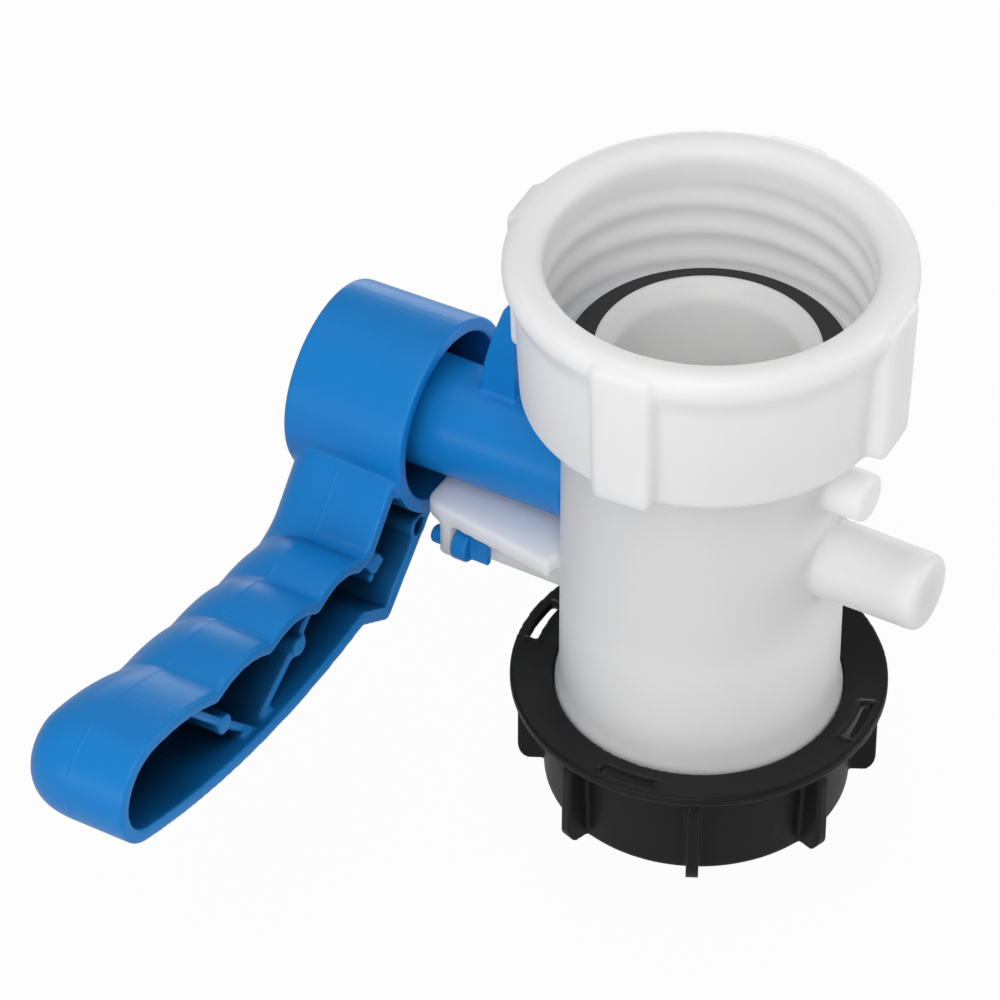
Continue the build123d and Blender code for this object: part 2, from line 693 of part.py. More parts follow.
# Handle: cup-shaped hub and a ribbed half shell with finger bumps, in one moulding
cavity_floor_x = handle_outer_x + handle_floor
hub_draft_deg = degrees(atan((hub_mouth_r - hub_end_r) / hub_length))
with BuildPart() as handle:
    # half shell, rounded towards the outer side
    with BuildSketch(stem_plane(handle_open_x)):
        add(grip_outline.sketch)
        upper_corners = vertices().filter_by_position(
            Axis.Y, grip_valleys[0][1] - grip_rise, grip_valleys[-1][1] + grip_rise
        )
        fillet(
            upper_corners.filter_by_position(Axis.X, grip_valleys[-1][0], neck_foot[0]),
            radius=handle_reach * grip_valley_round_share,
        )
    extrude(amount=-handle_width)
    outer_edges = handle.faces().sort_by(Axis.X)[0].edges()
    grip_edges = outer_edges.filter_by(lambda edge: edge.center().Y < grip_valleys[0][0])
    fillet(grip_edges, radius=handle_reach * handle_round_share)
    with BuildSketch(stem_plane(handle_open_x)):
        add(heel_outline.sketch)
    extrude(amount=-heel_width)
    # cavity, closed on the outer side and walled from the hub
    with BuildSketch(stem_plane(cavity_floor_x)):
        add(grip_outline.sketch)
        add(heel_outline.sketch)
        offset(amount=-handle_wall)
        Circle(hub_mouth_r, mode=Mode.SUBTRACT)
    extrude(amount=handle_open_x - cavity_floor_x + overrun, mode=Mode.SUBTRACT)
    # zigzag ribs with small round bosses where they cross
    with BuildSketch(stem_plane(cavity_floor_x)):
        add(grip_outline.sketch)
        offset(amount=-handle_wall / 2)
        with BuildSketch(mode=Mode.INTERSECT):
            for run_shares in rib_run_shares:
                with BuildLine():
                    Polyline(*[at_share(handle_reach, shares) for shares in run_shares])
                trace(line_width=rib_thickness)
    extrude(amount=handle_open_x - rib_recess - cavity_floor_x)
    with BuildSketch(stem_plane(cavity_floor_x)):
        with Locations(*[at_share(handle_reach, shares) for shares in rib_boss_shares]):
            Circle(rib_boss_r)
    extrude(amount=handle_open_x - rib_boss_recess - cavity_floor_x)
    # socket that the lock screw enters when the valve is closed
    with BuildSketch(lock_plane(handle_open_x)):
        Circle(lock_socket_r)
    extrude(amount=-lock_socket_depth)
    # hub: closed cup with a square socket in its middle
    with BuildSketch(stem_plane(hub_mouth_x)):
        Circle(hub_mouth_r)
    extrude(amount=-hub_length, taper=hub_draft_deg)
    fillet(handle.edges().group_by(Axis.X)[0], radius=hub_edge_round)
    with BuildSketch(stem_plane(hub_mouth_x)):
        Circle(hub_mouth_r - hub_wall)
    extrude(amount=-hub_length + hub_end_wall, taper=hub_draft_deg, mode=Mode.SUBTRACT)
    with BuildSketch(stem_plane(hub_boss_x)):
        Circle(hub_boss_r)
    extrude(amount=hub_end_x + hub_end_wall - hub_boss_x)
    with BuildSketch(stem_plane(hub_boss_x)):
        Rectangle(stem_square + 2 * square_gap, stem_square + 2 * square_gap)
    extrude(amount=stem_end_x - square_gap - hub_boss_x, mode=Mode.SUBTRACT)
    with BuildSketch(stem_plane(hub_boss_x)):
        Circle(stem_r + square_gap)
    extrude(amount=stem_square_start_x - square_gap - hub_boss_x, mode=Mode.SUBTRACT)
    with BuildSketch(stem_plane(hub_end_x)):
        Circle(hub_pocket_r)
    extrude(amount=hub_pocket_depth, mode=Mode.SUBTRACT)
    with BuildSketch(stem_plane(hub_end_x)):
        Circle(screw_r + screw_clearance)
    extrude(amount=stem_end_x - hub_end_x, mode=Mode.SUBTRACT)
    with BuildSketch(lock_plane(handle_open_x)):
        Circle(lock_r + lock_clearance)
    extrude(amount=-lock_hole_depth, mode=Mode.SUBTRACT)
handle.part.label = "handle"

# Washer in the pocket of the hub's closed end
hub_washer_x = hub_end_x + hub_pocket_depth - washer_gap
with BuildPart() as hub_washer:
    with BuildSketch(stem_plane(hub_washer_x)):
        Circle(hub_washer_r)
        Circle(screw_r + screw_clearance, mode=Mode.SUBTRACT)
    extrude(amount=-hub_washer_thickness)
hub_washer.part.label = "hub_washer"

# Handle screw: hexagon socket head, in the stem's threaded end
screw_head_x = hub_washer_x - hub_washer_thickness - washer_gap
with BuildPart() as handle_screw:
    with BuildSketch(stem_plane(screw_head_x)):
        Circle(screw_head_r)
    extrude(amount=-screw_head_height)
    fillet(handle_screw.edges().group_by(Axis.X)[0], radius=hub_edge_round)
    with BuildSketch(stem_plane(screw_head_x - screw_head_height)):
        RegularPolygon(screw_hex_r, 6)
    extrude(amount=screw_hex_depth, mode=Mode.SUBTRACT)
    with BuildSketch(stem_plane(screw_head_x)):
        Circle(screw_r)
    extrude(amount=screw_length)
handle_screw.part.label = "handle_screw"

# Lock screw: plain shank through the tab, round knob and flat wing to turn it by
knob_x = tab_x + tab_thickness + lock_gap
with BuildPart() as lock_screw:
    with BuildSketch(lock_plane(lock_end_x)):
        Circle(lock_r)
    extrude(amount=knob_x - lock_end_x)
    chamfer(lock_screw.edges().group_by(Axis.X)[0], length=lock_r / 4)
    with BuildSketch(lock_plane(knob_x)):
        Circle(lock_knob_r)
    extrude(amount=lock_knob_length)
    fillet(lock_screw.edges().group_by(Axis.X)[-1], radius=lock_knob_r / 6)
    with BuildSketch(lock_plane(knob_x + lock_knob_length)):
        RectangleRounded(lock_wing_thickness, lock_wing_height, lock_wing_thickness / 3)
    extrude(amount=lock_wing_length)
lock_screw.part.label = "lock_screw"

export_step(dust_cap.part, "parts/dust_cap.step")
export_step(cap_liner.part, "parts/cap_liner.step")
export_step(valve_body.part, "parts/valve_body.step")
export_step(ball.part, "parts/ball.step")
export_step(inlet_end.part, "parts/inlet_end.step")
export_step(inlet_gasket.part, "parts/inlet_gasket.step")
export_step(union_nut.part, "parts/union_nut.step")
export_step(stem.part, "parts/stem.step")
export_step(stem_washer.part, "parts/stem_washer.step")
export_step(bonnet.part, "parts/bonnet.step")
export_step(handle.part, "parts/handle.step")
export_step(hub_washer.part, "parts/hub_washer.step")
export_step(handle_screw.part, "parts/handle_screw.step")
export_step(lock_screw.part, "parts/lock_screw.step")
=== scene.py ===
from math import cos, pi, radians, sin, sqrt, tan

import bmesh
import bpy
from mathutils import Matrix, Vector


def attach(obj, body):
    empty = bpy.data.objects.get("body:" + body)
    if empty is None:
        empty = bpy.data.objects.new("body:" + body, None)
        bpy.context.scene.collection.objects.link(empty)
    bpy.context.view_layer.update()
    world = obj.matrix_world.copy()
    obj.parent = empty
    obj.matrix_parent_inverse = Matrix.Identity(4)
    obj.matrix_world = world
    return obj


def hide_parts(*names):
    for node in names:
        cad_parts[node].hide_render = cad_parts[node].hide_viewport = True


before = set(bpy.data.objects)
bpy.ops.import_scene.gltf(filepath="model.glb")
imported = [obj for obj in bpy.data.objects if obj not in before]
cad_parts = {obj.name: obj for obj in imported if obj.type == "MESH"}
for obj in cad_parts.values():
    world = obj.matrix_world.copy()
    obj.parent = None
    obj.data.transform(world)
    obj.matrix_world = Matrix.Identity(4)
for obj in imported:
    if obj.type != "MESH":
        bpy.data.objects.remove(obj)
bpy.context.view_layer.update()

# The valve body is one white polyethylene moulding: the pipe with its outlet thread, the blind
# side stub and the small boss above it, the neck for the stem, and the lock arm with two webs
# and a hanging tab. Its corners are softly rounded.
mm = 0.001
body_grain = 0.55 * mm
body_passes = 5
body_kept_share = 0.4
white_resin = (0.925, 0.92, 0.918, 1)
white_resin_shade = (0.905, 0.901, 0.902, 1)


def blank_of(node, name):
    """A new piece cut to the same solid as one of the frame's nodes."""
    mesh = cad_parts[node].data.copy()
    mesh.name = name
    mesh.materials.clear()
    work = bmesh.new()
    work.from_mesh(mesh)
    bmesh.ops.remove_doubles(work, verts=work.verts, dist=0.001 * mm)
    work.to_mesh(mesh)
    work.free()
    piece = bpy.data.objects.new(name, mesh)
    bpy.context.scene.collection.objects.link(piece)
    return piece


def mould_together(piece, others, grain, passes, kept_share):
    """Melts overlapping raw shapes into one moulding with soft edges, as the tool leaves it."""
    work = bmesh.new()
    work.from_mesh(piece.data)
    for other in others:
        work.from_mesh(other.data)
        bpy.data.objects.remove(other)
    work.to_mesh(piece.data)
    work.free()
    melt = piece.modifiers.new("melt", "REMESH")
    melt.mode = "VOXEL"
    melt.voxel_size = grain
    return soften(piece, passes, kept_share)


def soften(piece, passes, kept_share):
    """Takes the sharpness off a moulding's edges and thins its mesh out."""
    if passes > 0:
        ease = piece.modifiers.new("ease", "SMOOTH")
        ease.factor = 0.5
        ease.iterations = passes
    if kept_share < 1:
        thin_out = piece.modifiers.new("thin_out", "DECIMATE")
        thin_out.ratio = kept_share
    shaped = piece.evaluated_get(bpy.context.evaluated_depsgraph_get())
    finished = bpy.data.meshes.new_from_object(shaped)
    piece.modifiers.clear()
    piece.data = finished
    finished.polygons.foreach_set("use_smooth", [True] * len(finished.polygons))
    return piece


def plastic(
    name, colour, shade, roughness, cloud_size, grain_size, grain_depth, glow=0.0, gloss=0.5
):
    """Moulded plastic: faintly clouded colour, satin gloss that varies, and a fine grain."""
    material = bpy.data.materials.new(name)
    material.use_nodes = True
    nodes, links = material.node_tree.nodes, material.node_tree.links
    surface = nodes["Principled BSDF"]
    place = nodes.new("ShaderNodeTexCoord")
    clouds = nodes.new("ShaderNodeTexNoise")
    clouds.inputs["Scale"].default_value = 1 / cloud_size
    clouds.inputs["Detail"].default_value = 3
    tint = nodes.new("ShaderNodeMix")
    tint.data_type = "RGBA"
    tint.inputs["A"].default_value = shade
    tint.inputs["B"].default_value = colour
    spread = nodes.new("ShaderNodeMapRange")
    spread.inputs["From Min"].default_value = 0.15
    spread.inputs["From Max"].default_value = 0.85
    links.new(place.outputs["Object"], clouds.inputs["Vector"])
    links.new(clouds.outputs["Fac"], spread.inputs["Value"])
    links.new(spread.outputs["Result"], tint.inputs["Factor"])
    links.new(tint.outputs["Result"], surface.inputs["Base Color"])
    rub = nodes.new("ShaderNodeMapRange")
    rub.inputs["To Min"].default_value = roughness - 0.06
    rub.inputs["To Max"].default_value = roughness + 0.08
    links.new(clouds.outputs["Fac"], rub.inputs["Value"])
    links.new(rub.outputs["Result"], surface.inputs["Roughness"])
    grain = nodes.new("ShaderNodeTexNoise")
    grain.inputs["Scale"].default_value = 1 / grain_size
    grain.inputs["Detail"].default_value = 4
    links.new(place.outputs["Object"], grain.inputs["Vector"])
    relief = nodes.new("ShaderNodeBump")
    relief.inputs["Strength"].default_value = 0.6
    relief.inputs["Distance"].default_value = grain_depth
    links.new(grain.outputs["Fac"], relief.inputs["Height"])
    links.new(relief.outputs["Normal"], surface.inputs["Normal"])
    surface.inputs["IOR"].default_value = 1.49
    surface.inputs["Specular IOR Level"].default_value = gloss
    if glow > 0:
        surface.inputs["Subsurface Weight"].default_value = glow
        surface.inputs["Subsurface Radius"].default_value = (1, 1, 1)
        surface.inputs["Subsurface Scale"].default_value = 9 * mm
    return material


def give(piece, material):
    """Makes the piece of one material."""
    piece.data.materials.clear()
    piece.data.materials.append(material)


white_plastic = plastic(
    "white_polyethylene",
    white_resin,
    white_resin_shade,
    roughness=0.4,
    cloud_size=30 * mm,
    grain_size=1.1 * mm,
    grain_depth=0.04 * mm,
    glow=0.8,
)
valve_body = blank_of("valve_body", "body_moulding")
valve_body = mould_together(valve_body, [], body_grain, body_passes, body_kept_share)
give(valve_body, white_plastic)
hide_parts("valve_body")
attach(valve_body, "valve")

# The inlet end piece is screwed into the body from above, in the same white plastic. Only its
# softly rounded lip shows inside the gasket; the collar under the gasket holds the nut.
lip_bore_r = 19.0 * mm
lip_mouth_r = 21.9 * mm
lip_outer_r = 22.85 * mm
lip_flare_z = 109.6 * mm
lip_foot_z = 88.05 * mm
lip_screw_r = 25.74 * mm
lip_flare_rounding = 4.0 * mm
lip_outer_rounding = 0.55 * mm
lip_mouth_rounding = 0.9 * mm
collar_r = 30.9 * mm
collar_foot_z = 105.25 * mm
collar_top_z = 107.95 * mm
collar_rounding = 0.4 * mm
lip_top_z = 113.15 * mm


def add_piece(name, points, faces):
    """Puts a mesh of the given points and faces into the scene."""
    mesh = bpy.data.meshes.new(name)
    mesh.from_pydata([tuple(p) for p in points], [], faces)
    mesh.update()
    piece = bpy.data.objects.new(name, mesh)
    bpy.context.scene.collection.objects.link(piece)
    return piece


def turned(name, outline, steps, swell=None):
    """Turns a closed outline of (radius, height) points once round the flow axis."""
    points = []
    for index in range(steps):
        angle = 2 * pi * index / steps
        for radius, height in outline:
            reach = swell(radius, height, angle) if swell else radius
            points.append((reach * cos(angle), reach * sin(angle), height))
    count = len(outline)
    faces = []
    for index in range(steps):
        here, there = index * count, (index + 1) % steps * count
        for place in range(count):
            other = (place + 1) % count
            faces.append((here + place, there + place, there + other, here + other))
    piece = add_piece(name, points, faces)
    piece.data.polygons.foreach_set("use_smooth", [True] * len(faces))
    return piece


def eased(corners, pieces):
    """Rounds the corners of a closed outline: each corner is (radius, height, rounding)."""
    outline = []
    for index, (r, h, rounding) in enumerate(corners):
        corner = Vector((r, h))
        if rounding <= 0:
            outline.append((r, h))
            continue
        before = Vector(corners[index - 1][:2]) - corner
        after = Vector(corners[(index + 1) % len(corners)][:2]) - corner
        half = before.angle(after) / 2
        length = rounding / tan(half)
        start = corner + before.normalized() * length
        end = corner + after.normalized() * length
        inwards = (before.normalized() + after.normalized()).normalized()
        middle = corner + inwards * (rounding / sin(half))
        for part in range(pieces + 1):
            spoke = (start - middle).lerp(end - middle, part / pieces)
            place = middle + spoke.normalized() * rounding
            outline.append((place.x, place.y))
    return outline


inlet_lip = turned(
    "inlet_end_moulding",
    eased(
        [
            (lip_bore_r, lip_flare_z, lip_flare_rounding),
            (lip_bore_r, lip_foot_z, 0.3 * mm),
            (lip_screw_r, lip_foot_z, 0.5 * mm),
            (lip_screw_r, collar_foot_z, 0),
            (collar_r, collar_foot_z, collar_rounding),
            (collar_r, collar_top_z, collar_rounding),
            (lip_outer_r, collar_top_z, 0),
            (lip_outer_r, lip_top_z, lip_outer_rounding),
            (lip_mouth_r, lip_top_z, lip_mouth_rounding),
        ],
        pieces=8,
    ),
    steps=180,
)
give(inlet_lip, white_plastic)
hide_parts("inlet_end")
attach(inlet_lip, "valve")

# The inlet gasket is a flat ring of black rubber, cut from sheet and laid on the collar round
# the lip. Its cut edges are a little rounded and its face is matt with a fine grain.
gasket_inner_r = 22.9 * mm
gasket_outer_r = 28.6 * mm
gasket_top_z = 110.45 * mm
gasket_foot_rounding = 0.2 * mm
gasket_top_rounding = 0.35 * mm
gasket_ring = turned(
    "gasket_ring",
    eased(
        [
            (gasket_inner_r, collar_top_z, gasket_foot_rounding),
            (gasket_outer_r, collar_top_z, gasket_foot_rounding),
            (gasket_outer_r, gasket_top_z, gasket_top_rounding),
            (gasket_inner_r, gasket_top_z, gasket_top_rounding),
        ],
        pieces=6,
    ),
    steps=180,
)
black_rubber = plastic(
    "black_rubber",
    (0.02, 0.02, 0.02, 1),
    (0.015, 0.015, 0.015, 1),
    roughness=0.62,
    cloud_size=8 * mm,
    grain_size=0.5 * mm,
    grain_depth=0.06 * mm,
)
give(gasket_ring, black_rubber)
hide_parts("inlet_gasket")
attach(gasket_ring, "valve")

# The union nut screws the valve onto the tank's neck. It is moulded in white plastic with a
# rounded rim bead, a wall that tapers down, four grip lugs and a coarse round thread inside.
nut_top_z = 137.2 * mm
nut_foot_z = 102.0 * mm
nut_rim_r = 41.1 * mm
nut_rim_height = 9.5 * mm
nut_rim_straight_share = 0.52
nut_rim_rounding = 3.5 * mm
nut_wall_head_r = 38.8 * mm
nut_wall_head_rounding = 9.0 * mm
nut_wall_foot_r = 37.4 * mm
nut_edge_rounding = 1.6 * mm
nut_hole_r = 29.45 * mm
nut_flange_z = 105.1 * mm
nut_mouth_r = 33.3 * mm
nut_mouth_rounding = 4.0 * mm
nut_root_r = 33.2 * mm
nut_crest_r = 31.9 * mm
nut_pitch = 7.0 * mm
nut_ridge_z = 116.6 * mm
nut_ridge_angle = radians(110)
nut_ridge_sharpness = 1.3
nut_ridge_share = 0.78
nut_ridge_unevenness = 0.22
nut_thread_foot_z = 108.0 * mm
nut_thread_head_z = 131.0 * mm
nut_foot_fade = 1.5 * mm
nut_head_fade = 3.0 * mm
nut_thread_rows = 48
nut_grain = 0.5 * mm
nut_passes = 10
nut_kept_share = 0.4
lug_count = 4
lug_turn = radians(3.5)
lug_root_r = 34.5 * mm
lug_reach = 42.0 * mm
lug_half_width = 6.3 * mm
lug_foot_z = 102.7 * mm
lug_head_z = 135.9 * mm
lug_draft = 0.8 * mm
lug_rounding = 1.5 * mm


def thread_ridge(height, angle, pitch, first):
    """How far a right-hand thread's ridge stands up here: 0 in the groove, 1 on the crest."""
    turn = (height - first) / pitch - angle / (2 * pi)
    return (0.5 + 0.5 * cos(2 * pi * turn)) ** nut_ridge_sharpness


def nut_swell(radius, height, angle):
    """Brings the nut's inner wall in where the thread's ridge runs, fading at both ends."""
    if radius > nut_root_r + 0.01 * mm or radius < nut_root_r - 0.01 * mm:
        return radius
    from_foot = max(0, (height - nut_thread_foot_z) / nut_foot_fade)
    from_head = max(0, (nut_thread_head_z - height) / nut_head_fade)
    fade = min(1, from_foot, from_head)
    worn = nut_ridge_share + nut_ridge_unevenness * cos(angle - nut_ridge_angle / 2)
    ridge = thread_ridge(height, angle - nut_ridge_angle, nut_pitch, nut_ridge_z)
    return radius - worn * fade * (nut_root_r - nut_crest_r) * ridge


nut_wall = [
    (nut_root_r, nut_thread_head_z + (nut_flange_z - nut_thread_head_z) * row / nut_thread_rows)
    for row in range(nut_thread_rows + 1)
]
nut_outline = eased(
    [
        (nut_hole_r, nut_flange_z, 0.3 * mm),
        (nut_hole_r, nut_foot_z, 0.5 * mm),
        (nut_wall_foot_r, nut_foot_z, nut_edge_rounding),
        (nut_wall_head_r, nut_top_z - nut_rim_height, nut_wall_head_rounding),
        (nut_rim_r, nut_top_z - nut_rim_straight_share * nut_rim_height, nut_edge_rounding),
        (nut_rim_r, nut_top_z, nut_rim_rounding),
        (nut_mouth_r, nut_top_z, nut_mouth_rounding),
    ],
    pieces=8,
)
union_nut = turned("union_nut_moulding", nut_outline + nut_wall[1:], steps=200, swell=nut_swell)
lugs = []
for index in range(lug_count):
    turn = Matrix.Rotation(lug_turn + index * 2 * pi / lug_count, 4, "Z")
    ends = []
    for height, growth in ((lug_foot_z, 0.0), (lug_head_z, lug_draft)):
        lug_face_r = lug_reach + growth - lug_draft
        lug_side = lug_half_width + growth * 0.5
        for r, w in (
            (lug_root_r, -lug_side),
            (lug_face_r, -lug_side),
            (lug_face_r, lug_side),
            (lug_root_r, lug_side),
        ):
            ends.append(turn @ Vector((r, w, height)))
    lug = add_piece(
        "lug_%d" % index,
        ends,
        [(0, 3, 2, 1), (4, 5, 6, 7), (0, 1, 5, 4), (1, 2, 6, 5), (2, 3, 7, 6), (3, 0, 4, 7)],
    )
    work = bmesh.new()
    work.from_mesh(lug.data)
    bmesh.ops.bevel(
        work, geom=work.edges, offset=lug_rounding, segments=4, profile=0.5, affect="EDGES"
    )
    work.to_mesh(lug.data)
    work.free()
    lugs.append(lug)
union_nut = mould_together(union_nut, lugs, nut_grain, nut_passes, nut_kept_share)
give(union_nut, white_plastic)
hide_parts("union_nut")
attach(union_nut, "nut")

# The dust cap screws over the outlet. It is black plastic with a dished flange, eight thin ribs
# on the skirt, whose feet are rounded, and four curved slots with a low lip for a seal wire.
cap_top_z = 26.8 * mm
cap_flange_r = 39.3 * mm
cap_flange_width = 9.05 * mm
cap_dish = 1.5 * mm
cap_slot_count = 4
cap_slot_turn = radians(4.7)
cap_slot_half_turn = radians(9.2)
slot_lip_turn = radians(1.2)
slot_lip_inner_r = 34.1 * mm
slot_inner_r = 34.9 * mm
slot_outer_r = 37.1 * mm
slot_lip_rise = 0.5 * mm
slot_lip_root = 0.9 * mm
slot_lip_steps = 10
cap_skirt_foot_r = 32.0 * mm
cap_rib_reach_r = 37.6 * mm
cap_rib_foot_lift = 5.0 * mm
cap_grain = 0.4 * mm
cap_passes = 3
cap_kept_share = 0.4


def cap_lip(name, inner_r, outer_r, start, end):
    """A low curved rib on the cap's dished flange, between two radii and two turns."""
    points = []
    for index in range(slot_lip_steps + 1):
        angle = start + (end - start) * index / slot_lip_steps
        for r, lift in (
            (inner_r, -slot_lip_root),
            (outer_r, -slot_lip_root),
            (outer_r, slot_lip_rise),
            (inner_r, slot_lip_rise),
        ):
            height = cap_top_z - cap_dish * (cap_flange_r - r) / cap_flange_width + lift
            points.append((r * cos(angle), r * sin(angle), height))
    last = 4 * slot_lip_steps
    faces = [(3, 2, 1, 0), (last, last + 1, last + 2, last + 3)]
    for index in range(slot_lip_steps):
        for side in range(4):
            here, there = 4 * index + side, 4 * index + (side + 1) % 4
            faces.append((here, there, there + 4, here + 4))
    return add_piece(name, points, faces)


def round_rib_feet(piece):
    """Rounds the lower outer corner of the cap's ribs, so that they die out towards the foot."""
    for vertex in piece.data.vertices:
        x, y, z = vertex.co
        share = (sqrt(x * x + y * y) - cap_skirt_foot_r) / (cap_rib_reach_r - cap_skirt_foot_r)
        if share <= 0:
            continue
        lowest = cap_rib_foot_lift * (1 - sqrt(max(0, 1 - share * share)))
        vertex.co.z = max(z, lowest)


cap_lips = []
for index in range(cap_slot_count):
    middle = cap_slot_turn + index * 2 * pi / cap_slot_count
    near, far = middle - cap_slot_half_turn, middle + cap_slot_half_turn
    before, beyond = near - slot_lip_turn, far + slot_lip_turn
    cap_lips += [
        cap_lip("slot_lip_%d" % index, slot_lip_inner_r, slot_inner_r, before, beyond),
        cap_lip("slot_near_end_%d" % index, slot_lip_inner_r, slot_outer_r, before, near),
        cap_lip("slot_far_end_%d" % index, slot_lip_inner_r, slot_outer_r, far, beyond),
    ]
black_plastic = plastic(
    "black_polypropylene",
    (0.0085, 0.0085, 0.0088, 1),
    (0.007, 0.007, 0.0073, 1),
    roughness=0.4,
    cloud_size=12 * mm,
    grain_size=0.8 * mm,
    grain_depth=0.06 * mm,
    gloss=0.2,
)
dust_cap = blank_of("dust_cap", "cap_moulding")
dust_cap = mould_together(dust_cap, cap_lips, cap_grain, 0, 1)
round_rib_feet(dust_cap)
dust_cap = soften(dust_cap, cap_passes, cap_kept_share)
give(dust_cap, black_plastic)
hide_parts("dust_cap")
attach(dust_cap, "cap")

# The handle is one blue moulding: a cup-shaped hub over the stem and a half shell with finger
# bumps on top and zigzag ribs inside. The mould's halves left a fine line along the grip.
blue_resin = (0.007, 0.232, 0.655, 1)
blue_resin_shade = (0.006, 0.212, 0.61, 1)
blue_finish = {
    "roughness": 0.345,
    "cloud_size": 14 * mm,
    "grain_size": 0.9 * mm,
    "grain_depth": 0.04 * mm,
    "gloss": 0.24,
}
handle_grain = 0.45 * mm
handle_passes = 3
handle_kept_share = 0.35
parting_x = -73.5 * mm
parting_starts_y = -22.5 * mm
grip_outer_x = -86.2 * mm
grip_edge_r = 8.0 * mm
grip_half_height = 12.0 * mm
grip_dome = 11.0 * mm
grip_tip_y, grip_tip_z = -112.0 * mm, 56.2 * mm
grip_neck_y, grip_neck_z = -34.0 * mm, 46.8 * mm
dome_fullness = 1.5
dome_tip_fullness = 2.6
dome_tip_starts_y = -85.0 * mm
dome_starts_y, dome_full_y = -25.0 * mm, -40.0 * mm
hub_marks = (
    ((-70.6, -10.3, 88.7), (-58.9, -5.3, 90.7), 0.3),
    ((-71.2, -18.2, 80.8), (-70.9, -20.9, 72.3), 0.25),
)
hub_mark_rise = 0.12 * mm
# How far the painted shade in the handle's hollows reaches, and how dark it gets at the deepest.
painted_shade_reach = 30 * mm
painted_shade_darkest = 0.12


def dome_grip(piece):
    """Rounds the grip's outer half into a dome, from the mould's parting line outwards."""
    for vertex in piece.data.vertices:
        x, y, z = vertex.co
        if x > parting_x or y > dome_starts_y:
            continue
        share = (parting_x - x) / (parting_x - grip_outer_x)
        tipwards = (dome_tip_starts_y - y) / (dome_tip_starts_y - grip_tip_y)
        tipwards = min(1, max(0, tipwards))
        fullness = dome_fullness + tipwards * (dome_tip_fullness - dome_fullness)
        wanted = grip_dome * (1 - max(0, 1 - share**fullness) ** (1 / fullness))
        past_edge = max(0, grip_outer_x + grip_edge_r - x)
        present = grip_edge_r - sqrt(max(0, grip_edge_r**2 - past_edge**2))
        squeeze = (grip_half_height - wanted) / (grip_half_height - present)
        along = min(1, max(0, (y - grip_neck_y) / (grip_tip_y - grip_neck_y)))
        centre_y = min(y, grip_neck_y) if y > grip_tip_y else grip_tip_y
        centre_z = grip_neck_z + along * (grip_tip_z - grip_neck_z)
        blend = min(1, max(0, (dome_starts_y - y) / (dome_starts_y - dome_full_y)))
        squeeze = 1 + blend * blend * (3 - 2 * blend) * (squeeze - 1)
        vertex.co = (x, centre_y + (y - centre_y) * squeeze, centre_z + (z - centre_z) * squeeze)


def scribe(material, start, end, half_width, rise):
    """Adds a fine straight ridge to the finish, as a joint in the mould leaves it."""
    nodes, links = material.node_tree.nodes, material.node_tree.links
    normal = nodes["Principled BSDF"].inputs["Normal"]
    run = Vector(end) - Vector(start)
    place = nodes.new("ShaderNodeTexCoord")
    offset = nodes.new("ShaderNodeVectorMath")
    offset.operation = "SUBTRACT"
    offset.inputs[1].default_value = start
    along = nodes.new("ShaderNodeVectorMath")
    along.operation = "DOT_PRODUCT"
    along.inputs[1].default_value = run.normalized()
    held = nodes.new("ShaderNodeClamp")
    held.inputs["Max"].default_value = run.length
    nearest = nodes.new("ShaderNodeVectorMath")
    nearest.operation = "SCALE"
    nearest.inputs[0].default_value = run.normalized()
    apart = nodes.new("ShaderNodeVectorMath")
    apart.operation = "DISTANCE"
    ridge = nodes.new("ShaderNodeMapRange")
    ridge.interpolation_type = "SMOOTHSTEP"
    ridge.inputs["From Max"].default_value = half_width
    ridge.inputs["To Min"].default_value = 1
    ridge.inputs["To Max"].default_value = 0
    relief = nodes.new("ShaderNodeBump")
    relief.inputs["Distance"].default_value = rise
    links.new(place.outputs["Object"], offset.inputs[0])
    links.new(offset.outputs["Vector"], along.inputs[0])
    links.new(along.outputs["Value"], held.inputs["Value"])
    links.new(held.outputs["Result"], nearest.inputs["Scale"])
    links.new(offset.outputs["Vector"], apart.inputs[0])
    links.new(nearest.outputs["Vector"], apart.inputs[1])
    links.new(apart.outputs["Value"], ridge.inputs["Value"])
    links.new(ridge.outputs["Result"], relief.inputs["Height"])
    links.new(normal.links[0].from_socket, relief.inputs["Normal"])
    links.new(relief.outputs["Normal"], normal)


def paint_shade_in_hollows(material, reach, darkest):
    """Paints shade into the base colour where the surface lies in a hollow, darkest inside the
    shell.
    """
    nodes, links = material.node_tree.nodes, material.node_tree.links
    colour = nodes["Principled BSDF"].inputs["Base Color"]
    hollow = nodes.new("ShaderNodeAmbientOcclusion")
    hollow.samples = 8
    hollow.only_local = True
    hollow.inputs["Distance"].default_value = reach
    depth = nodes.new("ShaderNodeMapRange")
    depth.inputs["From Min"].default_value = 0.25
    depth.inputs["From Max"].default_value = 0.85
    depth.inputs["To Min"].default_value = darkest
    shaded = nodes.new("ShaderNodeVectorMath")
    shaded.operation = "SCALE"
    links.new(hollow.outputs["AO"], depth.inputs["Value"])
    links.new(colour.links[0].from_socket, shaded.inputs[0])
    links.new(depth.outputs["Result"], shaded.inputs["Scale"])
    links.new(shaded.outputs["Vector"], colour)


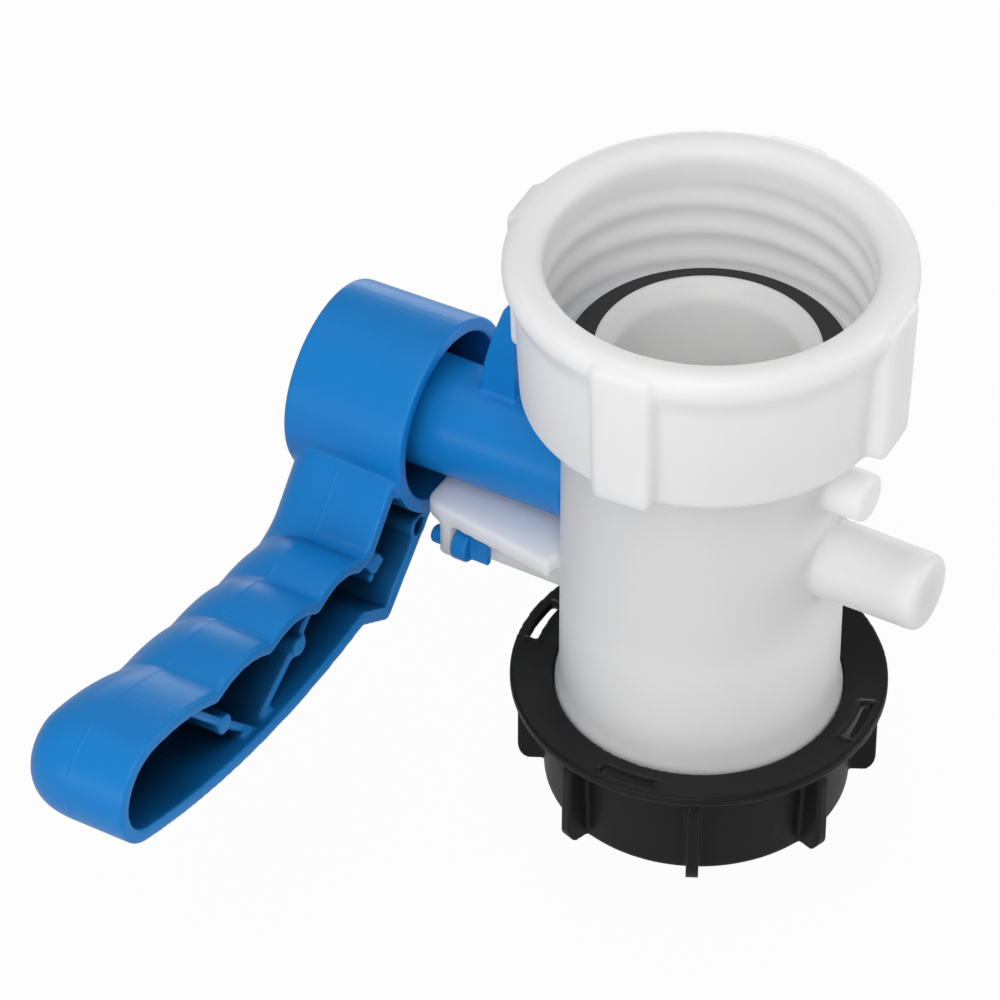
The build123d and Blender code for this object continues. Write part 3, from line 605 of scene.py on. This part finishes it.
def part_line(material, place_x, from_y, half_width, rise):
    """Adds the line that the mould's halves leave where they meet, across the whole grip."""
    nodes, links = material.node_tree.nodes, material.node_tree.links
    normal = nodes["Principled BSDF"].inputs["Normal"]
    place = nodes.new("ShaderNodeTexCoord")
    split = nodes.new("ShaderNodeSeparateXYZ")
    apart = nodes.new("ShaderNodeMath")
    apart.operation = "SUBTRACT"
    apart.inputs[1].default_value = place_x
    plain = nodes.new("ShaderNodeMath")
    plain.operation = "ABSOLUTE"
    ridge = nodes.new("ShaderNodeMapRange")
    ridge.interpolation_type = "SMOOTHSTEP"
    ridge.inputs["From Max"].default_value = half_width
    ridge.inputs["To Min"].default_value = 1
    ridge.inputs["To Max"].default_value = 0
    reach = nodes.new("ShaderNodeMath")
    reach.operation = "LESS_THAN"
    reach.inputs[1].default_value = from_y
    both = nodes.new("ShaderNodeMath")
    both.operation = "MULTIPLY"
    relief = nodes.new("ShaderNodeBump")
    relief.inputs["Distance"].default_value = rise
    links.new(place.outputs["Object"], split.inputs["Vector"])
    links.new(split.outputs["X"], apart.inputs[0])
    links.new(apart.outputs[0], plain.inputs[0])
    links.new(plain.outputs[0], ridge.inputs["Value"])
    links.new(split.outputs["Y"], reach.inputs[0])
    links.new(ridge.outputs["Result"], both.inputs[0])
    links.new(reach.outputs[0], both.inputs[1])
    links.new(both.outputs[0], relief.inputs["Height"])
    links.new(normal.links[0].from_socket, relief.inputs["Normal"])
    links.new(relief.outputs["Normal"], normal)


handle = blank_of("handle", "handle_moulding")
handle = mould_together(handle, [], handle_grain, handle_passes, 1)
dome_grip(handle)
handle = soften(handle, handle_passes, handle_kept_share)
handle_plastic = plastic("blue_handle", blue_resin, blue_resin_shade, **blue_finish)
for mark_start, mark_end, mark_half_width in hub_marks:
    scribe(
        handle_plastic,
        [place * mm for place in mark_start],
        [place * mm for place in mark_end],
        mark_half_width * mm,
        hub_mark_rise,
    )
# Painted shade: the blue is darkened in the hollows, deepest inside the grip's shell.
paint_shade_in_hollows(handle_plastic, painted_shade_reach, painted_shade_darkest)
part_line(handle_plastic, parting_x, parting_starts_y, half_width=0.45 * mm, rise=0.07 * mm)
give(handle, handle_plastic)
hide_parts("handle")
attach(handle, "turning_set")

# The bonnet is a blue plastic sleeve that is pushed over the body's neck and saddled on the pipe.
# It is moulded in one with a thin upright fin, which stands close to the union nut.
bonnet_grain = 0.4 * mm
bonnet_passes = 4
bonnet_kept_share = 0.5
blue_plastic = plastic("blue_polypropylene", blue_resin, blue_resin_shade, **blue_finish)
bonnet = blank_of("bonnet", "bonnet_moulding")
bonnet = mould_together(bonnet, [], bonnet_grain, bonnet_passes, bonnet_kept_share)
give(bonnet, blue_plastic)
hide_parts("bonnet")
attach(bonnet, "valve")

# The lock screw hangs in the arm's tab and keeps the handle shut in transport. It is a blue
# plastic shank with a round knob and a flat wing for the fingers, moulded in one.
lock_grain = 0.2 * mm
lock_passes = 3
lock_kept_share = 0.6
lock_screw = blank_of("lock_screw", "lock_screw_moulding")
lock_screw = mould_together(lock_screw, [], lock_grain, lock_passes, lock_kept_share)
give(lock_screw, blue_plastic)
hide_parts("lock_screw")
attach(lock_screw, "lock")

# The inner parts keep the solids' shapes: ball, seats, stem, washer and liner are turned or
# moulded from a pale hard plastic, the seals are rubber rings, and the screw that holds the
# handle on the stem is steel, as is the washer under its head.
pale_plastic = plastic(
    "pale_acetal",
    (0.8, 0.8, 0.79, 1),
    (0.76, 0.76, 0.75, 1),
    roughness=0.36,
    cloud_size=20 * mm,
    grain_size=0.7 * mm,
    grain_depth=0.02 * mm,
)
steel = plastic(
    "plain_steel",
    (0.5, 0.5, 0.5, 1),
    (0.42, 0.42, 0.42, 1),
    roughness=0.36,
    cloud_size=6 * mm,
    grain_size=0.4 * mm,
    grain_depth=0.02 * mm,
)
steel.node_tree.nodes["Principled BSDF"].inputs["Metallic"].default_value = 1
inner_finish = {
    "ball": pale_plastic,
    "inlet_seat": pale_plastic,
    "outlet_seat": pale_plastic,
    "stem": pale_plastic,
    "stem_washer": pale_plastic,
    "cap_liner": pale_plastic,
    "inlet_seat_ring": black_rubber,
    "outlet_seat_ring": black_rubber,
    "stem_ring_inner": black_rubber,
    "stem_ring_outer": black_rubber,
    "hub_washer": steel,
    "handle_screw": steel,
}
for node, material in inner_finish.items():
    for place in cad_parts[node].material_slots:
        place.material = material

# The photographer's table: a seamless pale floor, far enough under the valve for the dust cap to
# be screwed right off. The camera sees it white with a faint shadow, and the gloss sees it dimly.
floor_size = 3.0
floor_z = -25 * mm
floor = add_piece(
    "floor",
    [
        (-floor_size, -floor_size, floor_z),
        (floor_size, -floor_size, floor_z),
        (floor_size, floor_size, floor_z),
        (-floor_size, floor_size, floor_z),
    ],
    [(0, 1, 2, 3)],
)
paper = bpy.data.materials.new("studio_paper")
paper.use_nodes = True
nodes, links = paper.node_tree.nodes, paper.node_tree.links
sheet = nodes["Principled BSDF"]
sheet.inputs["Base Color"].default_value = (0.72, 0.72, 0.72, 1)
sheet.inputs["Roughness"].default_value = 0.9
white = nodes.new("ShaderNodeEmission")
white.inputs["Color"].default_value = (1, 1, 1, 1)
path = nodes.new("ShaderNodeLightPath")
to_camera = nodes.new("ShaderNodeMath")
to_camera.operation = "MULTIPLY"
to_camera.inputs[1].default_value = 0.96
mirrored = nodes.new("ShaderNodeMath")
mirrored.operation = "MAXIMUM"
to_gloss = nodes.new("ShaderNodeMath")
to_gloss.operation = "MULTIPLY"
to_gloss.inputs[1].default_value = 0.15
part = nodes.new("ShaderNodeMath")
part.operation = "MAXIMUM"
mix = nodes.new("ShaderNodeMixShader")
links.new(path.outputs["Is Camera Ray"], to_camera.inputs[0])
links.new(path.outputs["Is Glossy Ray"], mirrored.inputs[0])
links.new(path.outputs["Is Transmission Ray"], mirrored.inputs[1])
links.new(mirrored.outputs[0], to_gloss.inputs[0])
links.new(to_camera.outputs[0], part.inputs[0])
links.new(to_gloss.outputs[0], part.inputs[1])
links.new(part.outputs[0], mix.inputs[0])
links.new(sheet.outputs[0], mix.inputs[1])
links.new(white.outputs[0], mix.inputs[2])
links.new(mix.outputs[0], nodes["Material Output"].inputs["Surface"])
give(floor, paper)

# Studio light: an even pale room, and five soft boxes. The high one beside the camera reaches
# down inside the nut, the low ones lift the pipe's front and back, and one stands on the right.
world = bpy.data.worlds.new("studio_room")
bpy.context.scene.world = world
world.use_nodes = True
nodes, links = world.node_tree.nodes, world.node_tree.links
room = nodes["Background"]
room.inputs["Color"].default_value = (1, 1, 1, 1)
room.inputs["Strength"].default_value = 0.4
backdrop = nodes.new("ShaderNodeBackground")
backdrop.inputs["Color"].default_value = (1, 1, 1, 1)
backdrop.inputs["Strength"].default_value = 1.0
path = nodes.new("ShaderNodeLightPath")
mix = nodes.new("ShaderNodeMixShader")
links.new(path.outputs["Is Camera Ray"], mix.inputs[0])
links.new(room.outputs[0], mix.inputs[1])
links.new(backdrop.outputs[0], mix.inputs[2])
links.new(mix.outputs[0], nodes["World Output"].inputs["Surface"])
valve_middle = Vector((-0.02, -0.02, 0.06))


def soft_box(name, place, width, height, power):
    """A rectangular soft light, aimed at the valve's middle."""
    lamp = bpy.data.lights.new(name, "AREA")
    lamp.shape = "RECTANGLE"
    lamp.size = width
    lamp.size_y = height
    lamp.energy = power
    stand = bpy.data.objects.new(name, lamp)
    bpy.context.scene.collection.objects.link(stand)
    stand.location = place
    stand.rotation_euler = (valve_middle - Vector(place)).to_track_quat("-Z", "Y").to_euler()


soft_box("high_front_box", (0.2, -0.57, 0.78), width=0.6, height=0.6, power=3.3)
soft_box("overhead_box", (-0.2, 0.0, 1.0), width=0.3, height=0.3, power=0.8)
soft_box("low_front_box", (-0.1, -0.98, 0.14), width=0.8, height=0.25, power=1.8)
soft_box("right_box", (0.75, 0.62, 0.2), width=0.5, height=0.5, power=2.8)
soft_box("back_box", (-0.41, 0.91, 0.12), width=0.7, height=0.25, power=1.5)

# The camera stands where the photographer's did, about 30 degrees round to the right and 41
# degrees up, with a long lens.
camera_turn = radians(30.17)
camera_lift = radians(40.63)
camera_place = (410.84 * mm, -788.93 * mm, 835.38 * mm)
right = Vector((cos(camera_turn), sin(camera_turn), 0))
back = Vector(
    (sin(camera_turn) * cos(camera_lift), -cos(camera_turn) * cos(camera_lift), sin(camera_lift))
)
up = back.cross(right)
lens = bpy.data.cameras.new("camera")
lens.lens = 208.2
lens.sensor_width = 36
lens.clip_start = 0.05
camera = bpy.data.objects.new("camera", lens)
bpy.context.scene.collection.objects.link(camera)
camera.matrix_world = Matrix(
    (
        (right.x, up.x, back.x, camera_place[0]),
        (right.y, up.y, back.y, camera_place[1]),
        (right.z, up.z, back.z, camera_place[2]),
        (0, 0, 0, 1),
    )
)
bpy.context.scene.camera = camera
bpy.context.scene.view_settings.view_transform = "Standard"
